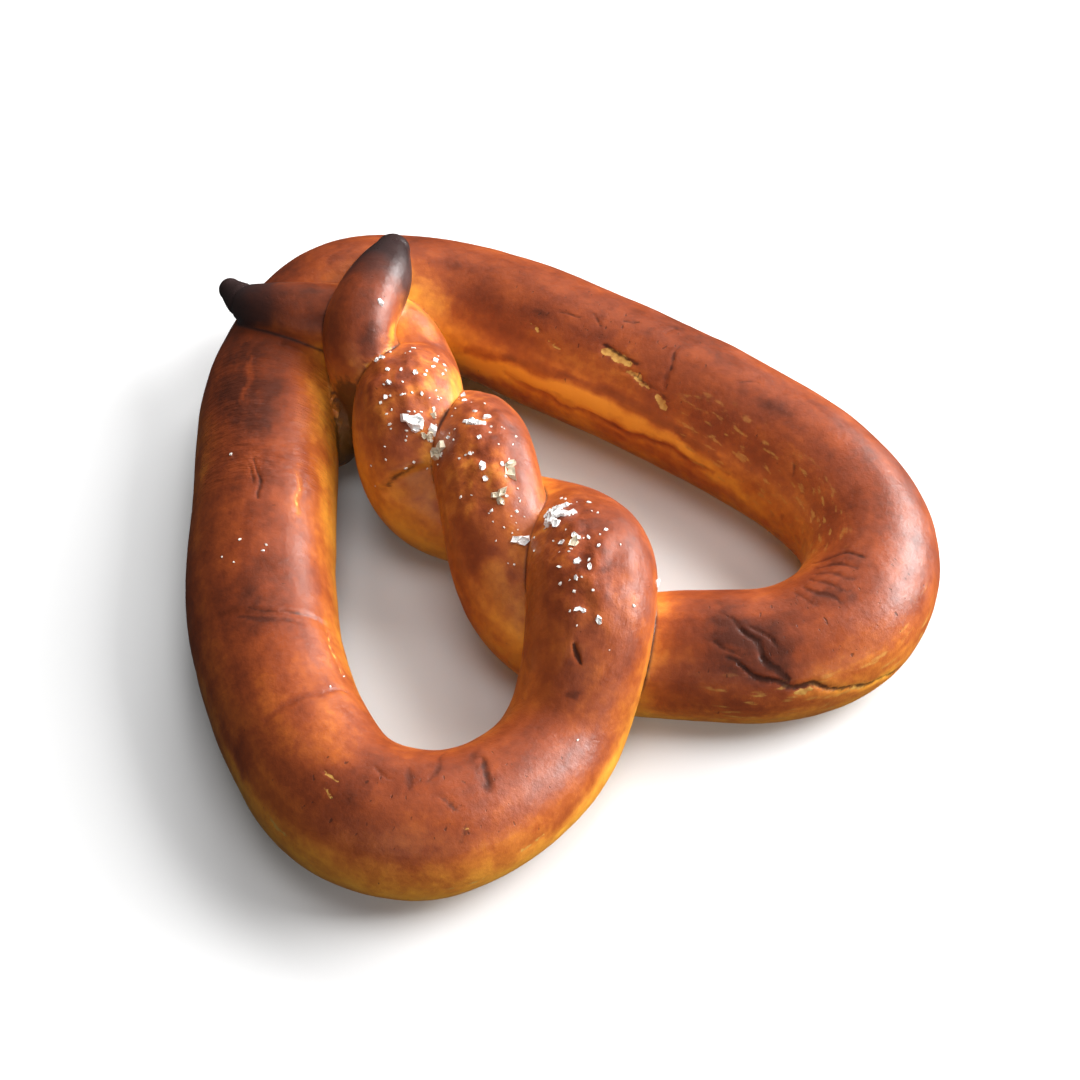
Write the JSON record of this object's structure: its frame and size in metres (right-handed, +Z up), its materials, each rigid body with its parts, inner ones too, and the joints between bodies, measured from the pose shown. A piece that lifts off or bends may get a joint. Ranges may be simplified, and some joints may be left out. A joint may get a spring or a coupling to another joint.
{
  "type": "pretzel",
  "caption": "Large baked pretzel: a rope of brown-crusted dough looped to both sides, its twisted ends pressed on the back, with flakes of salt on the twist.",
  "frame": {"origin": "on the table, under the middle of the whole pretzel's box", "axes": "+X across the two loops, from the loop whose strand goes over first to the other; +Y along the twist from the loops to the back of the rope; +Z up from the flat underside"},
  "size_m": [0.173, 0.176, 0.0439],
  "materials": {
    "crust": "baked mahogany-brown crust with a satin sheen, orange in the creases, burnt tips",
    "salt": "white and half-clear salt flakes"
  },
  "bodies": {
    "root": {"pretzel": "crust"}
  },
  "joints": []
}
